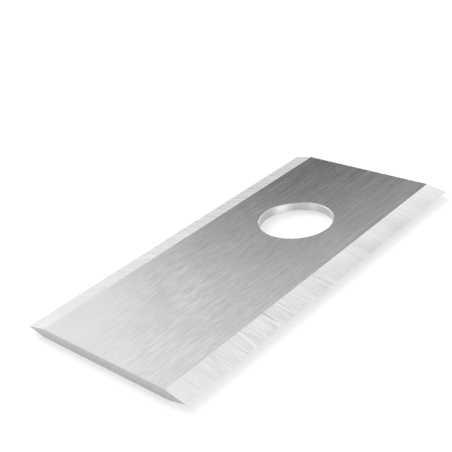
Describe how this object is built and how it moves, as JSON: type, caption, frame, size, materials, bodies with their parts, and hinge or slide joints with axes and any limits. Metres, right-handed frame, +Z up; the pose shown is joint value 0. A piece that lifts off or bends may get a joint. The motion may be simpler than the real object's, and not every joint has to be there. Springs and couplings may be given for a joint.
{
  "type": "rotary mower blade",
  "caption": "Flat rectangular steel mower blade, ground to a cutting edge along both long sides from both faces, with a round pivot hole nearer one end.",
  "frame": {"origin": "on the axis of the pivot hole, at the blade's lower face", "axes": "+X along the length towards the short end, +Y across the width, +Z up through the thickness, along the pivot hole"},
  "size_m": [0.037, 0.018, 0.0009],
  "materials": {
    "blade_steel": "bare hardened steel, flats brushed along the length, bevels ground across the edge, ends sheared"
  },
  "bodies": {
    "root": {"blade": "blade_steel"}
  },
  "joints": []
}
